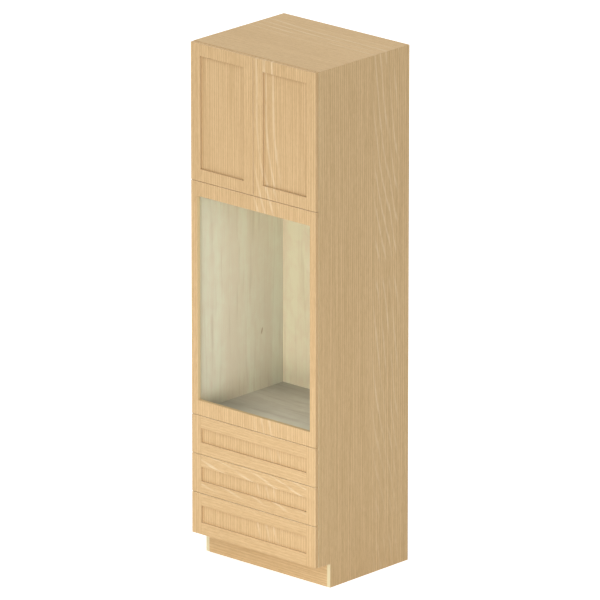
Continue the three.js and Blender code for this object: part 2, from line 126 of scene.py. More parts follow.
# %% Short names for nodes
class Recipe:
    """One graph of nodes, which starts empty."""

    def __init__(self, tree):
        self.tree = tree
        self.tree.nodes.clear()

    def feed(self, socket, value):
        """Set a socket to a number or a colour, or join another node's output to it."""
        if isinstance(value, bpy.types.NodeSocket):
            self.tree.links.new(value, socket)
        else:
            socket.default_value = value

    def calc(self, operation, *values):
        """One step of arithmetic."""
        node = self.tree.nodes.new("ShaderNodeMath")
        node.operation = operation
        for socket, value in zip(node.inputs, values):
            self.feed(socket, value)
        return node.outputs[0]

    def times(self, first, *others):
        """The product of its values."""
        for value in others:
            first = self.calc("MULTIPLY", first, value)
        return first

    def total(self, *terms, start=0.0):
        """start plus the sum of pairs of a value and how much of it to take."""
        for value, share in terms:
            start = self.calc("MULTIPLY_ADD", value, share, start)
        return start

    def size(self, value):
        """The value without its sign."""
        return self.calc("ABSOLUTE", value)

    def above(self, value, limit):
        """1 where the value is over the limit, and else 0."""
        return self.calc("GREATER_THAN", value, limit)

    def below(self, value, limit):
        """1 where the value is under the limit, and else 0."""
        return self.calc("LESS_THAN", value, limit)

    def wave(self, value, step):
        """A sine that starts again after each step of the value."""
        return self.calc("SINE", self.times(value, 2 * math.pi / step))

    def ease(self, value, low, high):
        """0 below low, 1 above high, a smooth step between. High may be the smaller."""
        node = self.tree.nodes.new("ShaderNodeMapRange")
        node.interpolation_type = "SMOOTHSTEP"
        flip = high < low
        self.feed(node.inputs["Value"], value)
        node.inputs["From Min"].default_value = min(low, high)
        node.inputs["From Max"].default_value = max(low, high)
        node.inputs["To Min"].default_value = 1.0 if flip else 0.0
        node.inputs["To Max"].default_value = 0.0 if flip else 1.0
        return node.outputs["Result"]

    def blend(self, amount, first, second):
        """The first colour where the amount is 0, and the second where it is 1."""
        node = self.tree.nodes.new("ShaderNodeMix")
        node.data_type = "RGBA"
        self.feed(node.inputs["Factor"], amount)
        self.feed(node.inputs[6], first)
        self.feed(node.inputs[7], second)
        return node.outputs[2]

    def shaded(self, tone, first, second):
        """From the first colour at tone 0, softly, to the second at tone 1."""
        return self.blend(self.ease(tone, 0.0, 1.0), first, second)

    def parts(self, vector):
        """The X, Y and Z of a vector."""
        node = self.tree.nodes.new("ShaderNodeSeparateXYZ")
        self.tree.links.new(vector, node.inputs[0])
        return node.outputs[0], node.outputs[1], node.outputs[2]


print("a recipe has", len([n for n in vars(Recipe) if n[0] != "_"]), "short names")

# %% [markdown]
# A finish is such a graph in a material. Patterns could follow a map of the surface, but
# the CAD boards have none. The object's own coordinates serve as well, and grain that is
# placed in metres has the same scale on every board.

# %% A material
MOSTLY = 0.5  # a face is turned mostly one way when that part of its normal is over half


class Finish(Recipe):
    """One material, with a surface that the recipe paints."""

    def __init__(self, name, roughness, specular, metallic=0.0):
        self.material = bpy.data.materials.new(name)
        self.material.use_nodes = True
        super().__init__(self.material.node_tree)
        self.surface = self.tree.nodes.new("ShaderNodeBsdfPrincipled")
        self.surface.inputs["Roughness"].default_value = roughness
        self.surface.inputs["Specular IOR Level"].default_value = specular
        self.surface.inputs["Metallic"].default_value = metallic
        output = self.tree.nodes.new("ShaderNodeOutputMaterial")
        self.tree.links.new(self.surface.outputs["BSDF"], output.inputs["Surface"])
        self.coordinates = self.tree.nodes.new("ShaderNodeTexCoord")

    def place(self):
        """The X, Y and Z of the point on the object."""
        return self.parts(self.coordinates.outputs["Object"])

    def facing(self):
        """The X, Y and Z of the way that the surface faces."""
        return self.parts(self.coordinates.outputs["Normal"])

    def faces_along(self, axis):
        """1 where the surface faces along an axis, either way. X, Y and Z are 0, 1, 2."""
        return self.above(self.size(self.facing()[axis]), MOSTLY)

    def turned(self, rotation=(0, 0, 0), shift=(0, 0, 0)):
        """The point on the object, turned so that Z runs along the grain."""
        node = self.tree.nodes.new("ShaderNodeMapping")
        self.tree.links.new(self.coordinates.outputs["Object"], node.inputs["Vector"])
        node.inputs["Rotation"].default_value = [math.radians(a) for a in rotation]
        node.inputs["Location"].default_value = shift
        return self.parts(node.outputs[0])

    def noise(self, grain, across, along, detail=2.0, warp=0.0):
        """Noise drawn out along the grain, by its waves a metre across and along it."""
        vector = self.tree.nodes.new("ShaderNodeCombineXYZ")
        for socket, value, waves in zip(vector.inputs, grain, (across, across, along)):
            self.feed(socket, self.times(value, waves))
        node = self.tree.nodes.new("ShaderNodeTexNoise")
        node.inputs["Scale"].default_value = 1.0
        node.inputs["Detail"].default_value = detail
        node.inputs["Distortion"].default_value = warp
        self.tree.links.new(vector.outputs[0], node.inputs["Vector"])
        return node.outputs["Fac"]

    def layers(self, grain, table):
        """Every layer of noise in a table, by its name."""
        return {name: self.noise(grain, *waves) for name, waves in table.items()}

    def mixed(self, layer, shares, middle=0.5):
        """The sum of layers, each by its share. It lies round the middle."""
        terms = [(layer[name], share) for name, share in shares.items()]
        return self.total(*terms, start=middle - 0.5 * sum(shares.values()))

    def paint(self, colour, height=None, depth=0.0002, strength=0.5, roughness=None):
        """Put colour, fine relief and sheen on the surface. Gives back the material."""
        self.feed(self.surface.inputs["Base Color"], colour)
        if roughness is not None:
            self.feed(self.surface.inputs["Roughness"], roughness)
        if height is not None:
            bump = self.tree.nodes.new("ShaderNodeBump")
            bump.inputs["Distance"].default_value = depth
            bump.inputs["Strength"].default_value = strength
            self.feed(bump.inputs["Height"], height)
            self.tree.links.new(bump.outputs[0], self.surface.inputs["Normal"])
        return self.material


ALONG_Z_ACROSS_X = (0, 0, 0)
ALONG_Z_ACROSS_Y = (0, 0, -90)
ALONG_X_ACROSS_Z = (0, 90, 0)
ALONG_X_ACROSS_Y = (-90, 90, 0)
ALONG_Y_ACROSS_X = (90, 0, 0)
print("grain can run along Z, X or Y")

# %% [markdown]
# The outside is rift-cut oak veneer. Rift-cut means that the blade meets the growth rings
# at a slant, which leaves fine, straight, even stripes. A picture of veneer could be laid
# on the boards, but it would have one fixed scale, and its seams would show. So the grain
# is built from layers of noise, from slow bands of colour down to single pores. A layer
# is written as its waves a metre across the grain and along it, its detail and its warp.

# %% Oak colours and layers
OAK_LIGHT = linear(227, 194, 146)
OAK_DARK = linear(204, 169, 121)
OAK_STREAK = linear(245, 225, 188)
OAK_PORE = linear(170, 134, 92)
# The next colour is painted shade, for the ledges in recesses and the rims of panels.
OAK_SHADE = linear(178, 150, 111)
# A greyer colour, for painted shade on the walls of a recess on the fronts.
RECESS_SHADE = linear(201, 179, 144)
OAK_JAMB = linear(238, 214, 167)
FRONT_OAK = (OAK_DARK, OAK_LIGHT)
SIDE_OAK = (linear(203, 170, 122), linear(226, 195, 147))
TOP_OAK = (linear(206, 172, 124), linear(229, 198, 150))

OAK_LAYERS = {
    "drift": (3.0, 0.7, 1.0),
    "bands": (26.0, 0.6, 2.0),
    "stripe": (150.0, 1.6, 1.0, 0.1),
    "fibre": (420.0, 9.0, 2.0),
    "fleck": (240.0, 34.0, 1.0),
    "uneven": (60.0, 1.3, 1.0),
    "pore": (1400.0, 34.0, 1.0),
}
OAK_SHARES = {"drift": 0.2, "bands": 0.2, "stripe": 0.5, "fibre": 0.85, "fleck": 0.6}
RIPPLE_STEP = 1 / 74.0
RIPPLE_SHARE = 0.26
RIPPLE_SHOWS = (0.25, 0.6)
RIPPLE_BEND = {"uneven": 0.012, "bands": 0.01}
PORE_EDGE = (0.6, 0.7)
PORE_SHARE = 0.42
OAK_RELIEF = {"fibre": 0.5, "stripe": 0.4, "pore": -0.6}
print("oak layers:", len(OAK_LAYERS))

# %% [markdown]
# Here and there a leaf of the veneer runs flatter through the rings, and thin pale lines
# lean across the stripes. They could be drawn one by one as curves. Here a few lengths
# describe the lines of a board, so that all boards can share one way to make them.


# %% The figure of a board
class Figure:
    """The leaning lines of a board, in metres.

    They move sideways by lean for each metre along, swing by sway, and come at each
    step. They show across the board in the band from near to far. Along it they show in
    groups, each a middle and a half length, or all along where there are none. Strength
    is how pale they get. A higher crest makes them thinner. Low is the share of the
    strength that is left near the floor.
    """

    def __init__(self, lean, sway, step, band, groups, strength, crest=0.4, low=1.0):
        self.lean, self.sway, self.step = lean, sway, step
        self.band, self.groups, self.strength = band, groups, strength
        self.crest, self.low = crest, low


FRONT_LINES = {"lean": 0.2, "sway": 0.039, "step": 0.048, "band": (-0.01, 0.175)}
FRONT_FIGURE = Figure(groups=((1.95, 0.26), (2.37, 0.1)), strength=0.42, **FRONT_LINES)
PANEL_FIGURE = Figure(groups=(), strength=0.55, **FRONT_LINES)
RAIL_FIGURE = Figure(-0.22, 0.01, 0.04, (0.33, 0.52), (), 0.5, crest=0.6)
SIDE_GROUPS = ((2.17, 0.4), (1.62, 0.12))
SIDE_FIGURE = Figure(0.2, 0.014, 0.04, (0.05, 0.26), SIDE_GROUPS, 0.42, 0.55, low=0.4)
TOP_FIGURE = Figure(0.07, 0.01, 0.045, (-0.24, -0.03), (), 0.4, crest=0.65)
print("the front's lines are", FRONT_FIGURE.step * 1000, "mm apart")

# %% [markdown]
# Each leaning line is a level curve of across + lean * along, with a slow sway, so one
# sine makes them all. In real veneer such lines fade in and out. So a mask keeps them to
# their band and their groups, and breaks them up in patches and along the fibres.

# %% Leaning lines
LEAF = 1.22  # the length of veneer after which the figure comes again
TURN = 2 * math.pi / LEAF
SWAY_START = 2.29  # a height where the lines are at the middle of their swing
LINE_BEND = 0.03  # how far the slow bands push a line sideways
BAND_FADE = 0.22  # the part of the band that fades at either side
GROUP_FADE = 0.05  # the length that fades at either end of a group
PATCHES = (22.0, 2.6, 1.0)
PATCH_SHOWS = (0.25, 0.5)
FIBRE_SHOWS = (0.2, 0.6)
LOW_END = (0.35, 0.95)  # where a figure that is weak near the floor gains its strength


def lines_along(finish, along, figure):
    """1 where one of the figure's groups shows, and else 0."""
    if not figure.groups:
        return 1.0
    shown = 0.0
    for middle, half in figure.groups:
        around = finish.total((along, TURN), start=-TURN * middle)
        around = finish.calc("COSINE", around)
        outer, inner = math.cos(TURN * (half + GROUP_FADE)), math.cos(TURN * half)
        shown = finish.calc("MAXIMUM", finish.ease(around, outer, inner), shown)
    return shown


def leaning_lines(finish, grain, figure, bands, fibre):
    """How strongly a pale line shows, 0 to 1."""
    across, _, along = grain
    sway = finish.total((along, -TURN), start=TURN * SWAY_START)
    sway = finish.calc("SINE", sway)
    level = finish.total(
        (along, figure.lean), (sway, figure.sway), (bands, LINE_BEND), start=across
    )
    near, far = figure.band
    soft = (far - near) * BAND_FADE
    mask = finish.times(
        finish.ease(finish.wave(level, figure.step), figure.crest, 1.0),
        finish.ease(across, near, near + soft),
        finish.ease(across, far, far - soft),
        lines_along(finish, along, figure),
        finish.ease(finish.noise(grain, *PATCHES), *PATCH_SHOWS),
    )
    if figure.low < 1.0:
        rise = finish.ease(along, *LOW_END)
        rise = finish.total((rise, 1.0 - figure.low), start=figure.low)
        mask = finish.times(mask, rise)
    return finish.times(mask, finish.ease(fibre, *FIBRE_SHOWS))


print("the figure comes again every", LEAF, "m")

# %% [markdown]
# Now the layers come together. The shade between the dark and the light wood is a sum of
# the slow layers, the fine ones, and a ripple: even stripes 13.5 mm apart, bent a little
# so that they don't look ruled. One layer of noise could not give both the even stripes
# and the random fibre. The leaning lines and the pores are painted over them.


# %% Oak
def oak(finish, rotation, shift=(0, 0, 0), stripes=1.0, figure=None, wood=FRONT_OAK):
    """Colour and height of oak."""
    grain = finish.turned(rotation, shift)
    layer = finish.layers(grain, OAK_LAYERS)
    bends = [(layer[name], amount) for name, amount in RIPPLE_BEND.items()]
    ripple = finish.wave(finish.total(*bends, start=grain[0]), RIPPLE_STEP)
    ripple = finish.times(ripple, finish.ease(layer["stripe"], *RIPPLE_SHOWS))
    shares = dict(OAK_SHARES, stripe=OAK_SHARES["stripe"] * stripes)
    shade = finish.mixed(layer, shares)
    shade = finish.total((ripple, RIPPLE_SHARE * stripes), start=shade)
    colour = finish.shaded(shade, *wood)
    if figure:
        mask = leaning_lines(finish, grain, figure, layer["bands"], layer["fibre"])
        colour = finish.blend(finish.times(mask, figure.strength), colour, OAK_STREAK)
    layer["pore"] = finish.ease(layer["pore"], *PORE_EDGE)
    colour = finish.blend(finish.times(layer["pore"], PORE_SHARE), colour, OAK_PORE)
    relief = [(layer[name], share) for name, share in OAK_RELIEF.items()]
    return colour, finish.total(*relief)


print("oak stripes are", round(1000 * RIPPLE_STEP, 1), "mm apart")

# %% [markdown]
# The narrow faces of a front don't look like its broad one. Round a recess they get
# painted shade, greyer than the oak, and the ledge at the bottom of a recess gets darker
# painted shade. The trim's jamb is paler. In the gap between two fronts the faces get
# painted light, and the outer rim of the broad face is worn in places. The faces could
# be picked one by one for other materials. Here the way that a face looks, and how far
# it lies inside the front's outline, tell which it is, so the mesh stays as it is.

# %% Narrow faces
RECESS_START = 0.02  # a narrow face farther inside the outline belongs to a recess
MEETING_REACH = 0.01  # an edge this near to the middle of the unit meets the other door
MEETING_SHARE = 0.55
WORN_WIDTH = 0.0018
WORN_SHARE = 0.35
HANDLING = (9.0, 9.0, 2.0)
HANDLING_SHOWS = (0.4, 0.65)


def apart(finish, box, inset=0.0):
    """How far a point lies inside the outline of a front, or of the panel in it."""
    x, _, z = finish.place()
    left, right = box[0].x + inset, box[1].x - inset
    bottom, top = box[0].z + inset, box[1].z - inset
    across = finish.calc(
        "MINIMUM", finish.calc("SUBTRACT", x, left), finish.calc("SUBTRACT", right, x)
    )
    upright = finish.calc(
        "MINIMUM", finish.calc("SUBTRACT", z, bottom), finish.calc("SUBTRACT", top, z)
    )
    return finish.calc("MINIMUM", across, upright)


def narrow_faces(finish, colour, box, recessed, gap_light, ledge, recess_tone):
    """Each share says how far the recess, the gap edges and the lower ledge change."""
    x, y, z = finish.facing()
    inside = apart(finish, box)
    narrow = finish.below(finish.size(y), MOSTLY)
    inner = finish.times(finish.above(inside, RECESS_START), narrow)
    # The recess walls take the recess tone: painted shade on the fronts, paler on the
    # trim.
    colour = finish.blend(finish.times(inner, recessed), colour, recess_tone)
    # Painted shade on the ledge at the bottom of a recess.
    sill = finish.times(inner, finish.above(z, MOSTLY))
    colour = finish.blend(finish.times(sill, ledge), colour, OAK_SHADE)

    # Painted light on level faces in the gaps between fronts, and where the doors meet.
    level = finish.calc("SUBTRACT", finish.above(finish.size(z), MOSTLY), inner)
    colour = finish.blend(finish.times(level, gap_light), colour, OAK_STREAK)
    meeting_light = finish.below(finish.size(finish.place()[0]), MEETING_REACH)
    crossways = finish.above(finish.size(x), MOSTLY)
    meeting_light = finish.times(meeting_light, crossways, MEETING_SHARE)
    colour = finish.blend(meeting_light, colour, OAK_STREAK)

    handled = finish.ease(finish.noise(finish.turned(), *HANDLING), *HANDLING_SHOWS)
    rim = finish.ease(inside, WORN_WIDTH, 0.0)
    worn = finish.times(rim, finish.calc("SUBTRACT", 1.0, narrow), handled, WORN_SHARE)
    return finish.blend(worn, colour, OAK_STREAK)


print("the worn rim is", WORN_WIDTH * 1000, "mm wide")

# %% [markdown]
# The trim round the oven, the top and the plinth are the first boards to get the oak.
# They could share one material if their grain ran the same way. But the trim's grain
# stands upright, the top's and the plinth's lies level, and each shows its own figure or
# none. So each has its own material from one recipe.

# %% Oak boards
OAK_SHEEN = {"roughness": 0.58, "specular": 0.25}
PLINTH_SHIFT = (0, 0, 1.7)


def oak_finish(
    name,
    rotation,
    box=None,
    recessed=0.6,
    gap_light=0.0,
    ledge=0.1,
    recess_tone=RECESS_SHADE,
    **choices,
):
    finish = Finish(name, **OAK_SHEEN)
    colour, height = oak(finish, rotation, **choices)
    if box:
        colour = narrow_faces(finish, colour, box, recessed, gap_light, ledge, recess_tone)
    return finish.paint(colour, height)


oak_trim = oak_finish(
    "oak_trim",
    ALONG_Z_ACROSS_X,
    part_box("oven_trim_panel"),
    recessed=0.9,
    gap_light=0.8,
    ledge=0.5,
    recess_tone=OAK_JAMB,
    figure=FRONT_FIGURE,
)
oak_top = oak_finish(
    "oak_top", ALONG_X_ACROSS_Y, stripes=0.6, figure=TOP_FIGURE, wood=TOP_OAK
)
oak_plinth = oak_finish("oak_plinth", ALONG_X_ACROSS_Z, shift=PLINTH_SHIFT)
print("oak boards:", [m.name for m in (oak_trim, oak_top, oak_plinth)])

# %% [markdown]
# A recessed panel gets painted shade round its rim, in the corner against the frame, and
# a door panel a little over its middle as well. An ambient occlusion node could find such
# corners, but its result moves with the doors. The distance to the nearest side of the
# panel's visible part gives a painted shade that stays. Each panel has its own material
# for this, and the drawer panels are cut from other places in the leaf.

# %% Door and drawer fronts
MEMBER = 0.057
# The band of painted shade round a panel's rim, and where it starts under the frame.
SHADE_RIM_WIDTH = 0.026
SHADE_RIM_START = -0.35 * SHADE_RIM_WIDTH
# Shares of painted shade round a panel's rim and over its middle, and of its stripes.
DOOR_PANEL = {"rim": 0.36, "middle": 0.07, "stripes": 1.5}
DRAWER_PANEL = {"rim": 0.24, "stripes": 1.15}
# Painted light on the gap faces of the drawer fronts.
DRAWER_GAP_LIGHT = 1.0
RAIL_STRIPES = 0.5
PANEL_LIFT = {1: 0.0, 2: 0.25, 3: 0.43}
PANEL_LINES = {1: FRONT_FIGURE, 2: FRONT_FIGURE, 3: PANEL_FIGURE}
RAIL_LIFT = {1: 0.4, 2: 0.0, 3: 0.0}
RAIL_LINES = {1: None, 2: RAIL_FIGURE, 3: None}
front_finishes = {}


def panel_finish(name, box, rim, middle=0.0, figure=FRONT_FIGURE, **choices):
    """Rim and middle are the shares of painted shade there, in a dark edge colour."""
    finish = Finish(name, **OAK_SHEEN)
    colour, height = oak(finish, ALONG_Z_ACROSS_X, figure=figure, **choices)
    # Painted shade round the panel's rim, and over its middle by the middle share.
    unshaded = finish.ease(apart(finish, box, MEMBER), SHADE_RIM_START, SHADE_RIM_WIDTH)
    shade = finish.total((unshaded, middle - rim), start=rim)
    return finish.paint(finish.blend(shade, colour, OAK_SHADE), height)


for side in ("left", "right"):
    door = f"{side}_door"
    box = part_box(f"{door}_frame")
    front_finishes[f"{door}_frame"] = oak_finish(
        f"oak_{door}_frame", ALONG_Z_ACROSS_X, box, figure=FRONT_FIGURE
    )
    front_finishes[f"{door}_panel"] = panel_finish(f"oak_{door}_panel", box, **DOOR_PANEL)
for number in (1, 2, 3):
    drawer = f"drawer_{number}"
    box = (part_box(f"{drawer}_left_stile")[0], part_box(f"{drawer}_right_stile")[1])
    stile = oak_finish(
        f"oak_{drawer}_stile", ALONG_Z_ACROSS_X, box, gap_light=DRAWER_GAP_LIGHT
    )
    rail = oak_finish(
        f"oak_{drawer}_rail",
        ALONG_X_ACROSS_Z,
        box,
        gap_light=DRAWER_GAP_LIGHT,
        stripes=RAIL_STRIPES,
        shift=(0, 0, RAIL_LIFT[number]),
        figure=RAIL_LINES[number],
    )
    for side in ("left", "right"):
        front_finishes[f"{drawer}_{side}_stile"] = stile
    for level in ("top", "bottom"):
        front_finishes[f"{drawer}_{level}_rail"] = rail
    front_finishes[f"{drawer}_panel"] = panel_finish(
        f"oak_{drawer}_panel",
        box,
        figure=PANEL_LINES[number],
        shift=(0, 0, PANEL_LIFT[number]),
        **DRAWER_PANEL,
    )
print("fronts with a finish:", len(front_finishes))

# %% [markdown]
# Inside, the boards have a pale maple face, with wide, soft, upright bands that turn from
# greenish to pinkish, and hardly any pores. It could be the oak recipe with other
# colours, but maple shows clouds and curl where oak shows stripes. So it has layers of
# its own and three colours: two for the bands and one for the fine dark streaks.

# %% Maple
MAPLE = (linear(250, 250, 228), linear(243, 234, 212), linear(212, 200, 174))
# A darker copy of maple, for painted shade on the inner faces of the sides.
SHADED_MAPLE = (linear(184, 186, 172), linear(179, 174, 160), linear(157, 149, 131))
BACK_MAPLE = (linear(231, 223, 190), linear(225, 208, 177), linear(204, 185, 151))
# A paler copy of the back's maple, for painted light on its inner face.
LIT_BACK_MAPLE = (linear(250, 242, 209), linear(244, 227, 197), linear(225, 207, 174))
# A darker, greyer copy of maple, for painted shade on the deck.
SHADED_DECK_MAPLE = (linear(219, 218, 206), linear(200, 195, 184), linear(158, 150, 137))

MAPLE_LAYERS = {
    "bands": (9.0, 0.45, 2.0, 0.2),
    "clouds": (22.0, 14.0, 3.0, 0.5),
    "fibre": (230.0, 7.0, 2.0),
    "curl": (36.0, 2.2, 3.0, 0.3),
}
MAPLE_SHARES = {"bands": 2.4, "clouds": 0.9, "fibre": 0.8}
CURL_SHOWS = (0.52, 0.78)
CURL_SHARE = 0.45


def mixed_wood(finish, amount, first, second):
    """A wood between two others. Each of its three colours is a blend."""
    return [finish.blend(amount, one, other) for one, other in zip(first, second)]


def maple(finish, rotation, shift=(0, 0, 0), wood=MAPLE, **shares):
    """Colour and height of maple. A layer's share can be set apart from its usual one."""
    green, pink, line = wood
    layer = finish.layers(finish.turned(rotation, shift), MAPLE_LAYERS)
    tone = finish.mixed(layer, dict(MAPLE_SHARES, **shares))
    colour = finish.shaded(tone, green, pink)
    streak = finish.times(finish.ease(layer["curl"], *CURL_SHOWS), CURL_SHARE)
    return finish.blend(streak, colour, line), layer["fibre"]


print("maple layers:", len(MAPLE_LAYERS))

# %% [markdown]
# The inside of the housing isn't even. The deck has painted shade along its left side
# and its back, the back panel has a faint knot, and the left wall a small brown mark.
# They could be painted by hand on a map of each board. A place, a size and a soft edge
# are enough here. They are written in metres: X to the right and Y backwards from the
# middle of the unit, and Z up from the floor.

# %% Painted shade and knots
KNOT_PALE = linear(250, 240, 212)
KNOT_BROWN = linear(150, 108, 66)
# The grey of painted shade on the deck and in a corner of the housing.
SHADE_GREY = linear(96, 92, 80)
# Painted shade on the deck, from the left side, the front and the back.
DECK_SHADE_LEFT, DECK_SHADE_LEFT_SHARE = (0.0, -0.35), 0.2
DECK_SHADE_FRONT, DECK_SHADE_FRONT_SHARE = (0.05, -0.14), 0.38
DECK_SHADE_BACK, DECK_SHADE_BACK_SHARE = (0.08, 0.2), 0.22


def knot(finish, colour, first, second, tone, share):
    """A small mark. First and second are each a value, its middle and its half width."""
    squares = []
    for value, middle, half in (first, second):
        away = finish.times(finish.calc("SUBTRACT", value, middle), 1.0 / half)
        squares.append(finish.times(away, away))
    spot = finish.ease(finish.calc("ADD", *squares), 1.0, 0.0)
    return finish.blend(finish.times(spot, share), colour, tone)


def deck_corners(finish, colour):
    """Painted shade along the left side and the back of the deck, most in front."""
    x, y, _ = finish.place()
    front = finish.ease(y, *DECK_SHADE_FRONT)
    painted_shade = finish.total((front, DECK_SHADE_FRONT_SHARE), start=DECK_SHADE_LEFT_SHARE)
    painted_shade = finish.times(finish.ease(x, *DECK_SHADE_LEFT), painted_shade)
    painted_shade = finish.total((finish.ease(y, *DECK_SHADE_BACK), DECK_SHADE_BACK_SHARE), start=painted_shade)
    return finish.blend(painted_shade, colour, SHADE_GREY)


print("marks: dust on the deck and two knots")

# %% [markdown]
# The level boards show maple on their broad faces and a paler strip on their edges,
# where the board's edge band is. Two material slots could do this, but a CAD node keeps
# one, so the material looks at the way the surface faces. The back is one upright sheet.
# Its inner face has painted light low down and high up, so its wood is a blend of two.

# %% Maple boards
EDGE_PALE = linear(232, 218, 178)
INSIDE_SHEEN = {"roughness": 0.5, "specular": 0.3}
FINE_RELIEF = {"depth": 0.0001, "strength": 0.3}
# Painted light on the back's inner face, high up and low down.
BACK_LIGHT_HIGH, BACK_LIGHT_HIGH_SHARE = (1.1, 1.5), 0.7
BACK_LIGHT_LOW, BACK_LIGHT_LOW_SHARE = (0.98, 0.78), 0.9
BACK_SHIFT, BACK_CLOUDING = (0.3, 0, 0), 1.5
BACK_KNOT_X, BACK_KNOT_Z, BACK_KNOT_SHARE = (-0.198, 0.016), (1.28, 0.03), 0.35
KNOT_BEND, KNOT_BEND_REACH = (30.0, 30.0, 2.0), 0.012


def level_maple(name, marks=None, **choices):
    """Maple on both faces of a level board, and a pale strip on its edges."""
    finish = Finish(name, **INSIDE_SHEEN)
    colour, height = maple(finish, ALONG_X_ACROSS_Y, **choices)
    if marks:
        colour = marks(finish, colour)
    colour = finish.blend(finish.faces_along(2), EDGE_PALE, colour)
    return finish.paint(colour, height, **FINE_RELIEF)


def back_finish():
    """Upright maple with a faint knot, and painted light low and high inside."""
    finish = Finish("maple_back", **INSIDE_SHEEN)
    x, y, z = finish.place()
    back_light = finish.total(
        (finish.ease(z, *BACK_LIGHT_HIGH), BACK_LIGHT_HIGH_SHARE),
        (finish.ease(z, *BACK_LIGHT_LOW), BACK_LIGHT_LOW_SHARE),
    )
    back_light = finish.times(back_light, finish.below(finish.facing()[1], -MOSTLY))
    wood = mixed_wood(finish, back_light, BACK_MAPLE, LIT_BACK_MAPLE)
    colour, height = maple(
        finish, ALONG_Z_ACROSS_X, BACK_SHIFT, wood, clouds=BACK_CLOUDING
    )
    bend = finish.noise((x, y, z), *KNOT_BEND)
    bent = finish.total((bend, KNOT_BEND_REACH), start=x)
    spot = (bent, *BACK_KNOT_X), (z, *BACK_KNOT_Z)
    colour = knot(finish, colour, *spot, KNOT_PALE, BACK_KNOT_SHARE)
    return finish.paint(colour, height, **FINE_RELIEF)


maple_level = level_maple("maple_level")
maple_deck = level_maple("maple_deck", deck_corners, wood=SHADED_DECK_MAPLE)
maple_back = back_finish()
print("maple boards:", [m.name for m in (maple_level, maple_deck, maple_back)])

# %% [markdown]
# A side panel wears both woods: oak outside, maple inside, and the pale strip on its
# edges, which shows where the toe kick is set back. It could have three materials, but
# one can do all of it, as it picks by the way the surface faces. The steel of the two
# shelf pins is picked by its place, because they stand proud of the inner face.

# %% Side panels
PIN_STEEL = linear(196, 196, 194)
INNER_X = 0.362
PIN_PROUD = 0.0003
SHADE_UP, SHADE_LOW, SHADE_HIGH = (1.0, 1.7), 0.55, 0.15
SHADE_DEEP = (-0.15, 0.38)  # from the front to the back of the housing
CORNER_UP, CORNER_FRONT, CORNER_SHARE = (0.76, 0.69), (0.1, -0.25), 0.6
MARK_Y, MARK_Z = (0.1405, 0.006), (0.974, 0.02)
MARK_LEAN, MARK_SHARE = 0.25, 0.6
SIDE_SHIFT = {"left": (0, 0, 0.9), "right": (0, 0, 0)}
SIDE_STRIPES = 1.2
INNER_SHIFT = (0.2, 0, 0)


def side_inner(finish, depth, upright):
    """Maple, painted shade low down, at the back and in a corner, and a brown mark."""
    # Painted shade, most low down and towards the back.
    rise = finish.ease(upright, *SHADE_UP)
    dim = finish.total((rise, SHADE_HIGH - SHADE_LOW), start=SHADE_LOW)
    dim = finish.times(dim, finish.ease(depth, *SHADE_DEEP))
    wood = mixed_wood(finish, dim, MAPLE, SHADED_MAPLE)
    inner, height = maple(finish, ALONG_Z_ACROSS_Y, INNER_SHIFT, wood)
    # Painted shade in the lower front corner of the housing.
    corner = finish.times(
        finish.ease(upright, *CORNER_UP), CORNER_SHARE, finish.ease(depth, *CORNER_FRONT)
    )
    inner = finish.blend(corner, inner, SHADE_GREY)
    bent = finish.calc("ADD", depth, MARK_LEAN * MARK_Z[0])
    bent = finish.total((upright, -MARK_LEAN), start=bent)
    mark = (bent, *MARK_Y), (upright, *MARK_Z)
    return knot(finish, inner, *mark, KNOT_BROWN, MARK_SHARE), height


def side_finish(side, outward):
    finish = Finish(f"oak_side_{side}", **OAK_SHEEN)
    outer, outer_height = oak(
        finish,
        ALONG_Z_ACROSS_Y,
        shift=SIDE_SHIFT[side],
        stripes=SIDE_STRIPES,
        figure=SIDE_FIGURE,
        wood=SIDE_OAK,
    )
    sideways, depth, upright = finish.place()
    inner, inner_height = side_inner(finish, depth, upright)
    away = finish.times(finish.facing()[0], outward)
    colour = finish.blend(finish.above(away, -MOSTLY), inner, EDGE_PALE)
    colour = finish.blend(finish.above(away, MOSTLY), colour, outer)
    pin = finish.below(finish.times(sideways, outward), INNER_X - PIN_PROUD)
    colour = finish.blend(pin, colour, PIN_STEEL)
    height = finish.total((outer_height, 1.0), (inner_height, 0.2))
    return finish.paint(colour, height)


oak_side_right = side_finish("right", 1.0)
oak_side_left = side_finish("left", -1.0)
print("side panels:", [m.name for m in (oak_side_left, oak_side_right)])

# %% [markdown]
# The drawer boxes, their bottoms and the nailer at the back are of birch: pale, with fine
# fibre and soft clouds. Its figure is so quiet that a plain colour could almost do. Two
# layers keep it from looking like plastic where a drawer stands open.

# %% Birch plywood
BIRCH_LIGHT = linear(232, 212, 172)
BIRCH_DARK = linear(214, 188, 143)
BIRCH_LAYERS = {"fibre": (260.0, 7.0, 2.0), "cloud": (16.0, 1.4, 2.0, 0.3)}
BIRCH_SHARES = {"fibre": 1.0, "cloud": 1.4}


def birch(finish, rotation):
    """Colour and height of a birch face."""
    layer = finish.layers(finish.turned(rotation), BIRCH_LAYERS)
    tone = finish.mixed(layer, BIRCH_SHARES)
    return finish.shaded(tone, BIRCH_DARK, BIRCH_LIGHT), layer["fibre"]


def plain_birch():
    finish = Finish("birch_plain", **INSIDE_SHEEN)
    colour, height = birch(finish, ALONG_X_ACROSS_Z)
    return finish.paint(colour, height, **FINE_RELIEF)


birch_plain = plain_birch()
print("birch:", birch_plain.name)

# %% [markdown]
# The walls of a drawer box are plywood, with thin brown lines of glue where the plies
# show on the upper edges. The corners are finger joints, so end grain and face grain
# change places every 12 mm up each corner. The box could be four boards with real
# fingers, but the joint is flush, so colour shows it.

